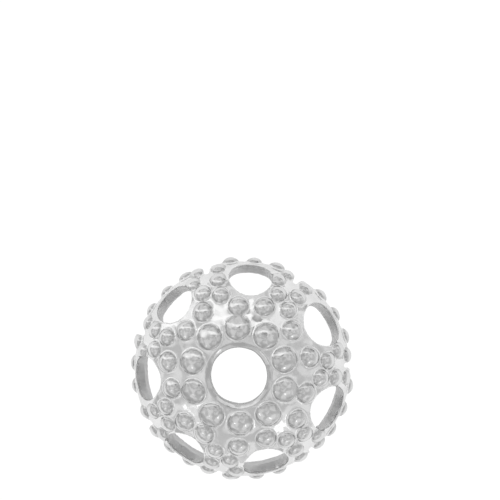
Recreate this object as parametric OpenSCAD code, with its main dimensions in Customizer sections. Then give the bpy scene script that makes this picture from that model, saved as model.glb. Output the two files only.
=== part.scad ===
// Bead cap: a pierced, flattened dome cast in one piece, with round bosses raised all over its
// outside and a blind pit behind most of them. It stands dome up on the tips of its rim lobes.
// The origin is on the dome's axis, in the plane of the rim. +X runs through one side opening.

/* [Dome] */
// Outside diameter of the dome at its widest, without its bosses
dome_d = 14.2; // [12.5:0.1:16]
// Height of the widest place above the rim
skirt_h = 0.75; // [0.7:0.05:1.2]
// Height of the dome's top above its widest place
dome_h = 4.2; // [3.8:0.05:4.6]
// Radius of the flatter top
top_r = 12.2; // [11:0.1:16]
// Thickness of the cast wall
wall_t = 0.7; // [0.55:0.05:0.8]

/* [Thread hole] */
// Diameter of the hole in the top, where the thread or wire comes out
thread_hole_d = 3.68; // [2.5:0.02:4]
// Width of the shallow bevel round that hole, outside
thread_bevel_w = 0.34; // [0.2:0.02:0.4]
// Height of that bevel
thread_bevel_h = 0.14; // [0.08:0.02:0.2]

/* [Side openings] */
// Number of round openings cut through the side, and of lobes at the rim
opening_n = 7; // [6:1:8]
// Diameter of each opening
opening_d = 2.9; // [2:0.05:3.1]
// Angle between the axis and the direction that the openings look out in
opening_lean = 52.5; // [49:0.5:55]

/* [Rim notches] */
// Width of the notch between two lobes, at the rim
notch_w = 0.9; // [0.6:0.05:1.2]
// Height of that notch above the rim
notch_h = 2.1; // [1.4:0.1:2.2]
// Radius of its rounded tip
notch_tip_r = 0.14; // [0.1:0.02:0.2]
// Radius that rounds the corners of the lobes
lobe_corner_r = 0.7; // [0.3:0.1:1]

/* [Bosses] */
// Height of a boss above the dome
boss_h = 0.32; // [0.2:0.02:0.5]
// Height of its straight side, below its rounded top
boss_side_h = 0.08; // [0.06:0.02:0.18]
// Number of large bosses in the ring round the thread hole
crown_n = 10; // [8:1:11]
// How far that ring is turned from the first side opening
crown_turn = 10; // [0:1:36]
// Diameter of the large bosses
crown_boss_d = 1.62; // [1.2:0.02:1.7]
// Distance of the large bosses from the axis, as a share of the dome's radius
crown_at = 0.443; // [0.43:0.005:0.46]
// Diameter of the two bosses above each opening
shoulder_boss_d = 1.28; // [0.9:0.02:1.4]
// Diameter of the bosses on the piers between the openings
pier_boss_d = 1.12; // [0.8:0.02:1.2]
// Diameter of the bosses along the rim
rim_boss_d = 1.02; // [0.8:0.02:1.1]
// Height of the middles of the bosses below an opening, above the rim
rim_boss_z = 0.64; // [0.56:0.02:0.72]

/* [Pits] */
// Diameter of the shallow pits behind the large bosses
crown_pit_d = 1.3; // [0.8:0.05:1.4]
// Depth of the shallow pits
crown_pit_h = 0.22; // [0.1:0.02:0.35]
// Diameter of the pits behind the other bosses
pit_d = 0.78; // [0.5:0.02:0.9]
// Depth of the pits behind the other bosses
pit_h = 0.46; // [0.2:0.02:0.55]

/* [Hidden] */
$fn = 64;
dome_fn = 256;

dome_r = dome_d / 2;
pitch = 360 / opening_n;
// Every cut runs this far past the surface it leaves
past = 0.5;

// The dome's outline is two arcs: the flatter top's, centred on the axis, and the rounded shoulder's.
// The shoulder's radius is worked out from the other sizes, a little above the one at which it would
// run into the top without any crease.
crease = 1.008;
shoulder_r = crease * (2 * top_r * dome_h - dome_h * dome_h - dome_r * dome_r) / (2 * (top_r - dome_r));
ring_r = dome_r - shoulder_r;
top_z = skirt_h + dome_h - top_r;

// The openings in turn: how far round each stands from even spacing, in degrees, its diameter as a
// share of opening_d, and how far round from it the bosses below it stand, in degrees
OPENING_CHART = [
    [ 2.1, 0.99,  0],
    [ 1.3, 0.96,  0],
    [-0.5, 1.01, -7],
    [-1.4, 0.98, -7],
    [-1.7, 1.03, -8],
    [-0.5, 1.06,  0],
    [ 0.7, 1.03,  0],
];

// How far below the horizon the bosses below an opening look out, as they stand below the widest place
rim_boss_dip = asin((skirt_h - rim_boss_z) / shoulder_r);

// How far round each pier stands from the middle between its two openings, in degrees, pier by pier
PIER_LEAN = [2, 0.5, 0, -3.5, -1.5, -1, 3];

// The bosses of one pier, a row each: how far round from the pier as a share of the pitch, distance
// from the axis as a share of the dome's radius, diameter. The first two stand above the openings.
PIER_CHART = [
    [-0.360, 0.636, shoulder_boss_d],
    [ 0.214, 0.669, shoulder_boss_d],
    [-0.117, 0.749, pier_boss_d],
    [ 0.107, 0.819, pier_boss_d],
    [-0.117, 0.883, pier_boss_d],
    [ 0.180, 0.924, pier_boss_d],
    [-0.130, 0.968, rim_boss_d],
    [ 0.105, 0.983, rim_boss_d],
];

// The bosses below one opening: how far round from the middle one, as a share of the pitch
LOBE_CHART = [-0.245, 0, 0.245];

function opening_turn(i) = i * pitch + OPENING_CHART[i % len(OPENING_CHART)][0];
function opening_width(i) = opening_d * OPENING_CHART[i % len(OPENING_CHART)][1];
function lobe_turn(i) = opening_turn(i) + OPENING_CHART[i % len(OPENING_CHART)][2];
function pier_turn(i) = (i + 0.5) * pitch + PIER_LEAN[i % len(PIER_LEAN)];

// How far from the axis the two arcs cross, once both are moved inwards by inset
function cross_r(inset) =
    let (top = top_r - inset, side = shoulder_r - inset, apart = norm([ring_r, skirt_h - top_z]))
    let (along = (apart * apart + top * top - side * side) / (2 * apart))
    (along * ring_r + sqrt(top * top - along * along) * (skirt_h - top_z)) / apart;

// The height and the lean of the dome's outside at the distance r from the axis
function height_at(r) =
    r < cross_r(0) ? top_z + sqrt(top_r * top_r - r * r)
    : skirt_h + sqrt(shoulder_r * shoulder_r - pow(r - ring_r, 2));
function lean_at(r) =
    r < cross_r(0) ? asin(r / top_r) : asin((r - ring_r) / shoulder_r);

// Stands what is drawn along +Z on the dome's outside, at a share of the dome's radius
module on_dome(turn, share) {
    r = share * dome_r;
    rotate([0, 0, turn + 90]) translate([0, -r, height_at(r)])
        rotate([lean_at(r), 0, 0]) children();
}

// Stands what is drawn along +Z on the rounded shoulder, looking out at an angle from the axis
module on_shoulder(turn, lean) {
    rotate([0, 0, turn + 90]) translate([0, -ring_r, skirt_h])
        rotate([lean, 0, 0]) translate([0, 0, shoulder_r]) children();
}

// The bosses of the piers: the children are drawn once for each, with $boss_d set
module each_pier_boss() {
    for (i = [0 : opening_n - 1]) {
        for (row = PIER_CHART) {
            $boss_d = row[2];
            on_dome(pier_turn(i) + row[0] * pitch, row[1]) children();
        }
    }
}

module each_lobe_boss() {
    for (i = [0 : opening_n - 1]) {
        for (share = LOBE_CHART) {
            on_shoulder(lobe_turn(i) + share * pitch, 90 + rim_boss_dip) children();
        }
    }
}

module each_crown_boss() {
    for (i = [0 : crown_n - 1]) {
        on_dome(crown_turn + i * 360 / crown_n, crown_at) children();
    }
}

// A boss from half way through the wall to its rounded top: a cylinder cut by a ball
module boss(d) {
    top_h = boss_h - boss_side_h;
    ball_r = (d * d / 4 + top_h * top_h) / (2 * top_h);
    intersection() {
        translate([0, 0, -wall_t / 2]) cylinder(d = d, h = wall_t / 2 + boss_h + past);
        translate([0, 0, boss_h - ball_r]) sphere(r = ball_r);
    }
}

// A blind hole in the inside of the wall
module pit(d, depth) {
    translate([0, 0, -wall_t - past]) cylinder(d = d, h = past + depth);
}

// Half the section of the solid dome, its outline moved inwards by inset, down to the height low
module half_section(inset, low) {
    high = skirt_h + dome_h - low;
    intersection() {
        translate([0, top_z]) circle(r = top_r - inset, $fn = dome_fn);
        translate([0, low]) square([cross_r(inset), high]);
    }
    intersection() {
        translate([ring_r, skirt_h]) circle(r = shoulder_r - inset, $fn = dome_fn);
        translate([cross_r(inset), low]) square([dome_r, high]);
    }
}

module solid_dome(inset, low) {
    rotate_extrude($fn = dome_fn) half_section(inset, low);
}

// The notch between two lobes as it is seen from outside, standing on the rim at x = 0
module notch_outline() {
    tip = notch_h - notch_tip_r;
    lean = atan2(notch_w / 2, tip) - asin(notch_tip_r / norm([notch_w / 2, tip]));
    // Where the notch's side meets its tip, and how far the lobe's rounded corner runs back
    side = [notch_tip_r * cos(lean), tip + notch_tip_r * sin(lean)];
    corner_l = lobe_corner_r * tan((90 - lean) / 2);
    translate([0, tip]) circle(r = notch_tip_r);
    polygon([
        [-notch_w / 2, -past], [notch_w / 2, -past], [notch_w / 2, 0], side,
        [-side[0], side[1]], [-notch_w / 2, 0],
    ]);
    for (s = [-1, 1]) {
        difference() {
            polygon([
                [s * (notch_w / 2 - corner_l * sin(lean)), corner_l * cos(lean)],
                [s * notch_w / 2, -past],
                [s * (notch_w / 2 + corner_l), -past],
                [s * (notch_w / 2 + corner_l), 0],
            ]);
            translate([s * (notch_w / 2 + corner_l), lobe_corner_r]) circle(r = lobe_corner_r);
        }
    }
}

// The notch cut through the wall from inside the hollow outwards
module notch() {
    rotate([90, 0, 90]) linear_extrude(height = dome_r + boss_h + past) notch_outline();
}

module cap() {
    // The bevel is a cone that meets the dome's outside where the bevel's width ends
    bevel_z = height_at(thread_hole_d / 2 + thread_bevel_w) - thread_bevel_h;
    bevel_run = thread_bevel_w * past / thread_bevel_h;
    color("silver") difference() {
        union() {
            solid_dome(0, 0);
            each_pier_boss() boss($boss_d);
            each_lobe_boss() boss(rim_boss_d);
            each_crown_boss() boss(crown_boss_d);
        }
        solid_dome(wall_t, -past);
        cylinder(d = thread_hole_d, h = skirt_h + dome_h + past);
        translate([0, 0, bevel_z])
            cylinder(d1 = thread_hole_d, d2 = thread_hole_d + 2 * bevel_run, h = past);
        for (i = [0 : opening_n - 1]) {
            on_shoulder(opening_turn(i), opening_lean)
                translate([0, 0, -shoulder_r]) cylinder(d = opening_width(i), h = 2 * shoulder_r);
            rotate([0, 0, pier_turn(i)]) notch();
        }
        each_pier_boss() pit(pit_d, pit_h);
        each_crown_boss() pit(crown_pit_d, crown_pit_h);
    }
}

cap();
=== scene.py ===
# %% [markdown]
# # A pierced bead cap
# A bead cap is a small cast cup that sits over the end of a bead, with the thread coming out
# through its middle. This one is a low dome with a large thread hole, seven round openings through
# its side, and raised dots all over. It stands dome up, as it would on a table.
#
# Everything is in metres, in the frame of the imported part: +Z runs up along the dome's axis, and
# the rim stands at z = 0.

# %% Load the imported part
import bpy
from math import cos, hypot, pi, radians, sin
from mathutils import Matrix, Vector


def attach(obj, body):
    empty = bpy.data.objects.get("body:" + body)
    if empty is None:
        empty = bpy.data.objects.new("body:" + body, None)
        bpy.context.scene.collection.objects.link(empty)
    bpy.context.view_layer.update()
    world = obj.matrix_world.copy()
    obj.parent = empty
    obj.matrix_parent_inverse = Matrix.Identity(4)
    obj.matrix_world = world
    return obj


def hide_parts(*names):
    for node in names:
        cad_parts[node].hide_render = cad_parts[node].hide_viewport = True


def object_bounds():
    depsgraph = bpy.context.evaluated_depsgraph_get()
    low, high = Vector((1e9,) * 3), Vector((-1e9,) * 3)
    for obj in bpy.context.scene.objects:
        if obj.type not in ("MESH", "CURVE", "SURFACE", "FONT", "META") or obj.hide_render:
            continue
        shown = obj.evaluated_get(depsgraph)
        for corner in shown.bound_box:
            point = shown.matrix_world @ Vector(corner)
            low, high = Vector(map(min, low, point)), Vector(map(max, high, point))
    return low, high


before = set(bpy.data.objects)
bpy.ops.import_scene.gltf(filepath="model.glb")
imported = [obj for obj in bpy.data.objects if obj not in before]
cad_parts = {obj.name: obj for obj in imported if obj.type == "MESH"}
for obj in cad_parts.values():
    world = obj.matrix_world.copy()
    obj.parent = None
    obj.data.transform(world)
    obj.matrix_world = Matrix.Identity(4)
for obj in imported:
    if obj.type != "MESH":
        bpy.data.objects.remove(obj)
cad_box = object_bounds()
low, high = cad_box
print("size in mm:", [round(1000 * (b - a), 2) for a, b in zip(low, high)])

# %% [markdown]
# ## The camera
# The photograph looks down on the dome from far away with a long lens, a few degrees off the axis,
# and the cap lies below the middle of a square picture. A camera can be pushed about by hand until
# the view looks right. Here its place is worked out, because a few plain numbers say how the cap
# stands in front of the lens: how far away, how far to the side, how much it leans, and how far it
# is turned about its own axis.

# %% How the cap stands in front of the lens
PICTURE = 500              # pixels along each side of the picture
PIXEL = 1 / 15150          # metres across one pixel, at the cap
DISTANCE = 0.26            # from the lens to the cap
CENTRE = (242.1, 369.0)    # where the cap's middle falls in the picture, in pixels
CENTRE_Z = 0.0009          # how high that middle is on the cap's axis
LEAN = radians(7.5)        # of the cap's axis away from the lens
LEAN_TO = radians(-115.8)  # the side of the picture that it leans to, from the right, anticlockwise
TURN = radians(81.4)       # of the cap about its own axis

to_side = (CENTRE[0] - PICTURE / 2) * PIXEL
to_top = (PICTURE / 2 - CENTRE[1]) * PIXEL
place = Vector((to_side, to_top, -DISTANCE))

axis = Vector((sin(LEAN) * cos(LEAN_TO), sin(LEAN) * sin(LEAN_TO), cos(LEAN)))
leant = Vector((0, 0, 1)).rotation_difference(axis).to_matrix()
off_centre = Vector((0, 0, -1)).rotation_difference(place).to_matrix()
stance = off_centre @ leant @ Matrix.Rotation(TURN, 3, "Z")
seen = stance.to_4x4()
seen.translation = place - stance @ Vector((0, 0, CENTRE_Z))
print("the cap's middle, as the lens sees it, in mm:", [round(1000 * part, 1) for part in place])

# %% [markdown]
# The cap itself has to stay where it is, upright at the origin. So it is the camera that takes the
# inverse of that stance: it moves to where it sees the cap in just this way.

# %% Place the camera
camera = bpy.data.objects.new("camera", bpy.data.cameras.new("camera"))
bpy.context.scene.collection.objects.link(camera)
camera.matrix_world = seen.inverted()
camera.data.sensor_width = 36
camera.data.lens = camera.data.sensor_width * DISTANCE / (PICTURE * PIXEL)
camera.data.clip_start = 0.01
bpy.context.scene.camera = camera
print("lens in mm:", round(camera.data.lens, 1))

# %% [markdown]
# ## The casting
# The whole cap is poured in one go, so it is one skin. It could be modelled anew from a sphere, but
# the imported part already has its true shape, and a copy of its mesh is the blank to work on. The
# copy is joined up first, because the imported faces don't share their corners. The work is done in
# millimetres, which suit the tools better than numbers as small as 0.00007.

# %% A joined copy of the cap, in millimetres
MM = 0.001
SAME = 0.0001              # mm; corners nearer to each other than this are one

bpy.ops.object.select_all(action="DESELECT")
cast = bpy.data.objects.new("cast_cap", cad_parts["cap"].data.copy())
bpy.context.scene.collection.objects.link(cast)
bpy.context.view_layer.objects.active = cast
cast.select_set(True)
cast.data.transform(Matrix.Scale(1 / MM, 4))
bpy.ops.object.mode_set(mode="EDIT")
bpy.ops.mesh.select_all(action="SELECT")
bpy.ops.mesh.remove_doubles(threshold=SAME)
bpy.ops.object.mode_set(mode="OBJECT")
print("corners after joining:", len(cast.data.vertices))

# %% [markdown]
# Nothing on a casting is sharp. The wax it is cast from is soft, the metal shrinks, and the tumbler
# rounds what is left. So the dots run into the dome with a small hollow curve, and the edges of the
# openings are round. Bevels would be hard to fit, because so many curved edges run close to each
# other. Remeshing gives an even net all over, and smoothing that net rounds outer edges and fills
# inner corners alike.

# %% Soften it
NET = 0.06                 # mm between the corners of the net
ROUNDS = 5                 # of smoothing, which round the edges to about 0.1 mm


def apply(modifier):
    bpy.ops.object.modifier_apply(modifier=modifier.name)


def triangles(thing):
    return sum(len(face.vertices) - 2 for face in thing.data.polygons)


remesh = cast.modifiers.new("net", "REMESH")
remesh.mode = "VOXEL"
remesh.voxel_size = NET
apply(remesh)
smooth = cast.modifiers.new("rounded", "SMOOTH")
smooth.factor = 0.5
smooth.iterations = ROUNDS
apply(smooth)
print("triangles:", triangles(cast))

# %% [markdown]
# Much of what follows depends on one measure: how high a place is above the dome's outside. The dots
# rise from it. The walls of the openings, the pits and the hollow lie below it. It could be measured
# by rays against a plain dome. But two arcs make the dome's outline, one for the flatter top and one
# for the round shoulder, so the distance to the middle of one arc or the other gives it at once.

# %% Height above the dome
DOME_R, DOME_H = 7.1, 4.2        # mm; the dome at its widest, and its top above that place
SKIRT_H = 0.75                   # mm; the widest place above the rim
TOP_R, SHOULDER_R = 12.2, 3.4    # mm; the radii of the two arcs
MEET_R = 5.5                     # mm; how far from the axis they meet
TOP_Z = SKIRT_H + DOME_H - TOP_R    # the top's arc has its middle on the axis, at this height
RING_R = DOME_R - SHOULDER_R        # the shoulder's has it this far out, at the widest place


def height(co):
    out = hypot(co.x, co.y)
    if out < MEET_R:
        return hypot(out, co.z - TOP_Z) - TOP_R
    return hypot(out - RING_R, co.z - SKIRT_H) - SHOULDER_R


print("height of the highest dot in mm:", round(max(height(v.co) for v in cast.data.vertices), 2))

# %% [markdown]
# The cast skin is a little uneven, by a few hundredths of a millimetre, which is what makes its
# reflections wander. A bump in the material would leave the outline too true, so a cloud pattern
# moves the net itself in and out by that much. The dots carry finer marks than the dome between
# them, so a second, finer pattern moves only the dots. A vertex group says how much each point takes
# of it.

# %% Make it uneven
UNEVEN, SPREAD = 0.07, 0.9       # mm from lowest to highest, and across one cloud, all over
DENTS, DENT = 0.02, 0.35         # the same on the dots
DOT_FOOT, DOT_TOP = 0.08, 0.2    # mm above the dome, where the finer pattern starts and is full

dots = cast.vertex_groups.new(name="dots")
for point in cast.data.vertices:
    share = (height(point.co) - DOT_FOOT) / (DOT_TOP - DOT_FOOT)
    if share > 0:
        dots.add([point.index], min(1, share), "REPLACE")


def make_uneven(name, strength, cloud, group=""):
    clouds = bpy.data.textures.new(name, "CLOUDS")
    clouds.noise_scale = cloud
    clouds.noise_depth = 1
    uneven = cast.modifiers.new(name, "DISPLACE")
    uneven.texture = clouds
    uneven.texture_coords = "LOCAL"
    uneven.mid_level = 0.5
    uneven.strength = strength
    uneven.vertex_group = group
    apply(uneven)


make_uneven("uneven_skin", UNEVEN, SPREAD)
make_uneven("dented_dots", DENTS, DENT, "dots")
cast.vertex_groups.clear()
print("points on the dots:", sum(height(v.co) > DOT_FOOT for v in cast.data.vertices))

# %% [markdown]
# The net is even, so most of its triangles lie where the cap is nearly flat. A coarser net would
# lose the small curves with them. Decimate thins the flat places first and keeps the curves. The
# rim still has to stand on the table, so no point is left below it.

# %% Thin the net
ENOUGH = 196000            # triangles

thinned = cast.modifiers.new("thinned", "DECIMATE")
thinned.ratio = min(1, ENOUGH / triangles(cast))
apply(thinned)
for point in cast.data.vertices:
    point.co.z = max(point.co.z, low.z / MM)
print("triangles:", triangles(cast))

# %% [markdown]
# The colour follows the height too, as painted shade: the steep side of each dot, the walls of the
# openings and the lip round the thread hole are made darker, as if shade fell on them. Painting that
# by hand would take long, and would be lost with each new net. So the height is kept as an attribute:
# a number at each point of the mesh, which the material reads by its name.

# %% Mark the height
SKIN = 0.5                 # the attribute's value on the dome's outside; 1 mm higher adds 1
DEEPEST, HIGHEST = -0.4, 0.5    # mm; heights past these count as these
LIP_R, LIP = 2.2, 0.0      # mm; the lip round the thread hole, which has a value below all others


def mark(attribute, values):
    made = cast.data.attributes.new(attribute, "FLOAT", "POINT")
    made.data.foreach_set("value", values)


def skin_value(point, h):
    if hypot(point.co.x, point.co.y) < LIP_R:
        return LIP
    return SKIN + min(HIGHEST, max(DEEPEST, h))


points = cast.data.vertices
heights = [height(point.co) for point in points]
mark("height", [skin_value(point, h) for point, h in zip(points, heights)])
print("heights in mm:", round(min(heights), 2), "to", round(max(heights), 2))

# %% [markdown]
# The bottoms of the blind pits are frosted, more than the walls are. A pit's bottom is found by
# where it lies, inside the wall, and by where it faces, into the hollow. That needs no list of pits,
# and it holds when they move.

# %% Mark how frosted it is
WALL_TOP = -0.2            # mm; what lies lower has the duller finish of the walls
PIT_BOTTOM = (-0.55, -0.15)    # mm; the heights that a pit's bottom lies between
FACING = -0.8              # the most that its normal may point outwards, where 1 is straight out
DULL, FROSTED = 0.6, 1.0   # the attribute's values on a wall and on a pit's bottom


def frost(point, h):
    out = Vector((point.co.x, point.co.y, point.co.z - TOP_Z)).normalized()
    if PIT_BOTTOM[0] < h < PIT_BOTTOM[1] and point.normal.dot(out) < FACING:
        return FROSTED
    return DULL if h < WALL_TOP else 0


frosts = [frost(point, h) for point, h in zip(points, heights)]
mark("frost", frosts)
print("points at the bottoms of pits:", frosts.count(FROSTED))

# %% [markdown]
# The narrow hollow line where a dot meets the dome gets a painted highlight: its grey is made
# lighter than the rest. Height alone can't find it, because walls and openings pass through the same
# height. The net itself tells where it is: in a hollow corner the neighbours of a point lie above it,
# along its normal, and on a round edge they lie below it.

# %% Mark the hollow corners
HOLLOW = 0.1               # a mean rise towards the neighbours from which a corner is fully hollow

rise = [0.0] * len(points)
neighbours = [0] * len(points)
for edge in cast.data.edges:
    for here, there in (edge.vertices, reversed(edge.vertices)):
        step = (points[there].co - points[here].co).normalized()
        rise[here] += step.dot(points[here].normal)
        neighbours[here] += 1
hollows = [total / max(1, number) for total, number in zip(rise, neighbours)]
mark("hollow", hollows)
print("share of hollow corners:", round(sum(h > HOLLOW for h in hollows) / len(hollows), 3))

# %% [markdown]
# The casting is done. It goes back to metres and takes the place of the imported cap, which stays for
# collision and no longer shows.

# %% In place of the imported cap
cast.data.transform(Matrix.Scale(MM, 4))
bpy.ops.object.shade_smooth()
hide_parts("cap")
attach(cast, "root")
print("top of the casting in mm:", round(max(point.co.z for point in points) / MM, 2))

# %% [markdown]
# ## The silver
# Bright silver plate over the uneven casting. A metal with one grey and one gloss would look like a
# plain mirror. The real plate changes slightly from place to place, and a fine grain breaks up its
# reflections. Both come from noise on the object's own coordinates, which stays on the metal however
# the cap is turned.

# %% Silver plate, its patches and its grain
PATCHES, GRAINS = 700, 5000    # of them to a metre

silver = bpy.data.materials.new("silver_plate")
silver.use_nodes = True
nodes = silver.node_tree.nodes
metal = nodes["Principled BSDF"]
metal.inputs["Metallic"].default_value = 1


def join(source, target):
    target.id_data.links.new(source, target)


def noise(along, scale, detail):
    made = nodes.new("ShaderNodeTexNoise")
    made.inputs["Scale"].default_value = scale
    made.inputs["Detail"].default_value = detail
    join(along, made.inputs["Vector"])
    return made.outputs["Fac"]


where = nodes.new("ShaderNodeTexCoord").outputs["Object"]
patches = noise(where, PATCHES, 2)
grain = noise(where, GRAINS, 3)
print("patches and grains in mm:", round(1 / PATCHES / MM, 2), "and", round(1 / GRAINS / MM, 2))

# %% [markdown]
# The plate's grey is a little darker in one patch than in the next. The patches are numbers from 0
# to 1, and most of them lie near the middle. A ramp turns them into greys, and says at which number
# each grey begins, so that the light and dark patches come out about as large as on the real plate.

# %% Grey from place to place
PLATE = [(0.3, 0.86), (0.7, 0.96)]    # a value of the patches, and the grey there


def ramp(source, stops):
    """A grey for each value of the source, from a list of (value, grey) with values from 0 to 1."""
    made = nodes.new("ShaderNodeValToRGB")
    ends = made.color_ramp.elements
    while len(ends) < len(stops):
        ends.new(1)
    for end, (value, grey) in zip(ends, stops):
        end.position = value
        end.color = (grey, grey, grey, 1)
    join(source, made.inputs["Fac"])
    return made.outputs["Color"]


grey = ramp(patches, PLATE)
print("darkest and lightest patch:", PLATE[0][1], PLATE[-1][1])

# %% [markdown]
# Two more greys multiply it, and both come from marks on the mesh. Both are painted light and shade.
# The hollow corners are lighter than the rest, a painted highlight. By height, the lip and the walls
# are darker than the skin, and so is the steep side of each dot, a painted shade. Because the marks
# were measured on the net, these greys lie exactly on its shapes.

# %% Painted highlight and shade from the shape
# painted highlight: the hollow corners get a lighter grey than the rest
HOLLOW_HIGHLIGHT = [(0.02, 0.93), (HOLLOW, 1.0)]                      # how hollow, and the grey there
# painted shade by height: the lip, the walls and the steep side of each dot are darker, and a dot's
# top a little darker than the skin
HEIGHT_SHADE = [
    (LIP, 0.76), (LIP + 0.08, 0.9), (SKIN - 0.12, 0.9),    # the lip, then the walls
    (SKIN - 0.04, 1.0), (SKIN + 0.03, 1.0),                # the dome's skin
    (SKIN + 0.08, 0.7), (SKIN + 0.14, 0.7),                # the steep side of a dot
    (SKIN + 0.24, 0.92),                                   # its top
]


def marked(attribute):
    made = nodes.new("ShaderNodeAttribute")
    made.attribute_name = attribute
    return made.outputs["Fac"]


def reckon(operation, *terms):
    """Arithmetic on sockets and plain numbers."""
    made = nodes.new("ShaderNodeMath")
    made.operation = operation
    for socket, term in zip(made.inputs, terms):
        if isinstance(term, float):
            socket.default_value = term
        else:
            join(term, socket)
    return made.outputs["Value"]


for layer in (ramp(marked("hollow"), HOLLOW_HIGHLIGHT), ramp(marked("height"), HEIGHT_SHADE)):
    grey = reckon("MULTIPLY", grey, layer)
join(grey, metal.inputs["Base Color"])
print("darkest grey of all:", round(PLATE[0][1] * HOLLOW_HIGHLIGHT[0][1] * min(side[1] for side in HEIGHT_SHADE), 2))

# %% [markdown]
# The gloss wanders with the same patches, so that a lighter place is a slightly duller one. What the
# tumbler doesn't reach is duller still, by the frost that is marked on the mesh.

# %% Gloss
GLOSS = (0.08, 0.18)       # the least and the greatest roughness of the polished plate
FROST = 0.4                # added where it is fully frosted


def fit(source, came, goes=(0, 1)):
    """The source, taken from the range it came in to another one, and held inside that."""
    made = nodes.new("ShaderNodeMapRange")
    for name, value in zip(("From Min", "From Max", "To Min", "To Max"), (*came, *goes)):
        made.inputs[name].default_value = value
    join(source, made.inputs["Value"])
    return made.outputs["Result"]


gloss = fit(patches, (0, 1), GLOSS)
join(reckon("MULTIPLY_ADD", marked("frost"), FROST, gloss), metal.inputs["Roughness"])
print("roughness of a pit's bottom: at most", round(GLOSS[1] + FROST * FROSTED, 2))

# %% [markdown]
# The grain is too small for the net, so it is a bump in the shader. It is kept slight, because the
# metal is polished: it only blurs the edges of what the metal mirrors.

# %% Grain
GRAIN = 0.15               # the strength of the bump
GRAIN_DEPTH = 0.02 * MM

fine = nodes.new("ShaderNodeBump")
fine.inputs["Strength"].default_value = GRAIN
fine.inputs["Distance"].default_value = GRAIN_DEPTH
join(grain, fine.inputs["Height"])
join(fine.outputs["Normal"], metal.inputs["Normal"])

cast.data.materials.clear()
cast.data.materials.append(silver)
print("nodes in the silver:", len(nodes))

# %% [markdown]
# ## The studio
# The cap stands on white paper. One large flat sheet is enough for it. It lies a hair below the rim,
# so that the two surfaces don't fight, and it is not attached to the object.

# %% White table
TABLE = 0.6                # metres along each side
BELOW = 0.02 * MM          # how far it lies below the rim

bpy.ops.object.select_all(action="DESELECT")
bpy.ops.mesh.primitive_plane_add(size=TABLE, location=(0, 0, low.z - BELOW))
table = bpy.context.object
table.name = "table"
print("table in m:", [round(side, 2) for side in table.dimensions])

# %% [markdown]
# The paper has to be pure white in the picture, also where it shows through the openings. Plain
# white paper would be grey under the cap. Paper that glows for everything would light the cap from
# below until its walls vanished. So the sheet glows for the camera alone. To the metal it is matt
# paper that the cap shades, with a little light coming through it.

# %% White paper
GLOW = 1.05                # for the camera, where 1 is white
WHITE = 0.8                # how much light the paper throws back at the metal
LIT_THROUGH = 0.36         # the light that comes through it

paper = bpy.data.materials.new("white_table")
paper.use_nodes = True
nodes = paper.node_tree.nodes
nodes.clear()


def glowing(strength):
    made = nodes.new("ShaderNodeEmission")
    made.inputs["Strength"].default_value = strength
    return made.outputs["Emission"]


matt = nodes.new("ShaderNodeBsdfDiffuse")
matt.inputs["Color"].default_value = (WHITE, WHITE, WHITE, 1)
sheet = nodes.new("ShaderNodeAddShader")
join(matt.outputs["BSDF"], sheet.inputs[0])
join(glowing(LIT_THROUGH), sheet.inputs[1])

ray = nodes.new("ShaderNodeLightPath")
either = nodes.new("ShaderNodeMixShader")
join(ray.outputs["Is Camera Ray"], either.inputs["Fac"])
join(sheet.outputs["Shader"], either.inputs[1])
join(glowing(GLOW), either.inputs[2])
surface = nodes.new("ShaderNodeOutputMaterial")
join(either.outputs["Shader"], surface.inputs["Surface"])
table.data.materials.append(paper)
print("nodes in the paper:", len(nodes))

# %% [markdown]
# A dome of metal mirrors the whole studio, so what stands round it decides its look. Soft boxes
# could be modelled one by one. A tent of light is quicker: the world gets a strength for each
# direction. The directions are turned once to how the camera stands for this picture. Then X points
# to the picture's right, Y to its upper side, and Z straight back past the lens.

# %% Directions in the tent
world = bpy.data.worlds.new("tent")
bpy.context.scene.world = world
world.use_nodes = True
nodes = world.node_tree.nodes
tent = nodes["Background"]
tent.inputs["Color"].default_value = (1, 1, 1, 1)

turned = nodes.new("ShaderNodeMapping")
turned.inputs["Rotation"].default_value = camera.matrix_world.to_3x3().inverted().to_euler()
join(nodes.new("ShaderNodeTexCoord").outputs["Generated"], turned.inputs["Vector"])
directions = turned.outputs["Vector"]
parts = nodes.new("ShaderNodeSeparateXYZ")
join(directions, parts.inputs["Vector"])
upper_side = camera.matrix_world.to_3x3().col[1]
print("the picture's upper side, in the part's frame:", [round(part, 2) for part in upper_side])

# %% [markdown]
# The tent is a mid grey all round, slightly lighter in a ring where the dome's shoulder mirrors it.
# A bright strip crosses it towards the picture's upper side. The dome mirrors the strip only once,
# but each dot is a small dome of its own, and the strip gives each of them its light arc.

# %% Grey all round, and a bright strip
AROUND = [(0.0, 0.6), (0.28, 0.61), (0.4, 0.77), (0.54, 0.7), (0.95, 0.65), (1.0, 0.58)]
STRIP = [(0.3, 0.0), (0.4, 0.42), (0.54, 0.42), (0.62, 0.0)]


def light_along(part, stops):
    """Light by one part of the direction, from a list of (part, light) with parts from -1 to 1."""
    return ramp(fit(parts.outputs[part], (-1, 1)), [((at + 1) / 2, light) for at, light in stops])


light = reckon("ADD", light_along("Z", AROUND), light_along("Y", STRIP))
print("light straight above, and at most:", AROUND[-1][1], AROUND[2][1] + STRIP[1][1])

# %% [markdown]
# Dark cards are what make metal look like metal. Photographers hang them in the tent, and here each
# is an oval of directions that takes light away. A small one breaks the strip's lower edge and gives
# the dots their dark streak. A large one calms the surfaces that face the upper right.

# %% Dark cards
SOFTNESS = 2.5             # 1 for a card that fades from its middle, more for a firmer one
CARDS = [                  # middle across and up, half width, half height, light added
    (0.0, 0.36, 0.24, 0.07, -0.55),
    (0.72, 0.58, 0.36, 0.36, -0.22),
]


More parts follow.
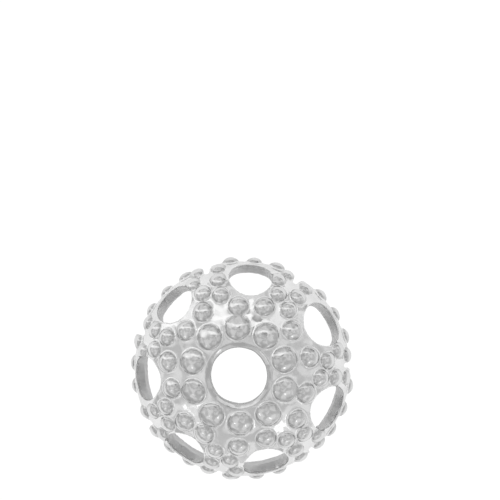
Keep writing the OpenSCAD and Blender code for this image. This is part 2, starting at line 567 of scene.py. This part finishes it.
def card(x, y, half_width, half_height):
    """1 inside an oval of directions and 0 outside, with a soft edge."""
    fitted = nodes.new("ShaderNodeMapping")
    fitted.inputs["Location"].default_value = (-x / half_width, -y / half_height, 0)
    fitted.inputs["Scale"].default_value = (1 / half_width, 1 / half_height, 0)
    join(directions, fitted.inputs["Vector"])
    oval = nodes.new("ShaderNodeTexGradient")
    oval.gradient_type = "SPHERICAL"
    join(fitted.outputs["Vector"], oval.inputs["Vector"])
    return reckon("MINIMUM", reckon("MULTIPLY", oval.outputs["Fac"], SOFTNESS), 1.0)


for x, y, half_width, half_height, added in CARDS:
    light = reckon("MULTIPLY_ADD", card(x, y, half_width, half_height), added, light)
print("dark cards:", len(CARDS))

# %% [markdown]
# No real tent is even. It has seams, folds and a table's edge behind it, and they are what the metal
# shows between its bright and dark places. Noise with firm edges stands in for them: large panels of
# directions that are a little lighter or darker than the rest.

# %% Panels
PANELS = 3.2               # the scale of the noise; a larger number gives smaller panels
PANEL_EDGE = (0.44, 0.56)  # the narrow range of the noise in which one panel turns into the next
PANEL_LIGHT = 0.12         # added in the lighter panels, and taken away in the darker ones

panels = fit(noise(directions, PANELS, 1), PANEL_EDGE, (-PANEL_LIGHT, PANEL_LIGHT))
join(reckon("ADD", light, panels), tent.inputs["Strength"])
print("nodes in the tent:", len(nodes))

# %% [markdown]
# Two small lamps beside the camera, towards the picture's lower side, give each dot its pair of
# bright points. They could be part of the tent, but very small bright places in a tent make a grainy
# render, and lamps don't. Their directions are given as the tent's are.

# %% Lamps
LAMP_DISTANCE = 0.4        # metres from the cap
BRIGHTNESS = 1.0           # of the lamp's face, where white paper in the tent is about 1
LAMPS = [                  # name, direction, metres across
    ("lamp_left", (-0.52, -0.52, 0.68), 0.042),
    ("lamp_right", (0.31, -0.67, 0.67), 0.052),
]

for name, direction, width in LAMPS:
    bulb = bpy.data.lights.new(name, "AREA")
    bulb.shape = "DISK"
    bulb.size = width
    face = pi * (width / 2) ** 2
    bulb.energy = BRIGHTNESS * pi * face
    lamp = bpy.data.objects.new(name, bulb)
    bpy.context.scene.collection.objects.link(lamp)
    lamp.location = camera.matrix_world.to_3x3() @ Vector(direction).normalized() * LAMP_DISTANCE
    lamp.rotation_euler = (-lamp.location).to_track_quat("-Z", "Y").to_euler()
    print(name, "in mW:", round(1000 * bulb.energy, 1))

# %% [markdown]
# The default way of showing light holds back the bright tones, and the paper would turn grey. The
# standard way shows each tone as it is reckoned, so white stays white.

# %% Tones as they are
bpy.context.scene.view_settings.view_transform = "Standard"
print("tones:", bpy.context.scene.view_settings.view_transform)
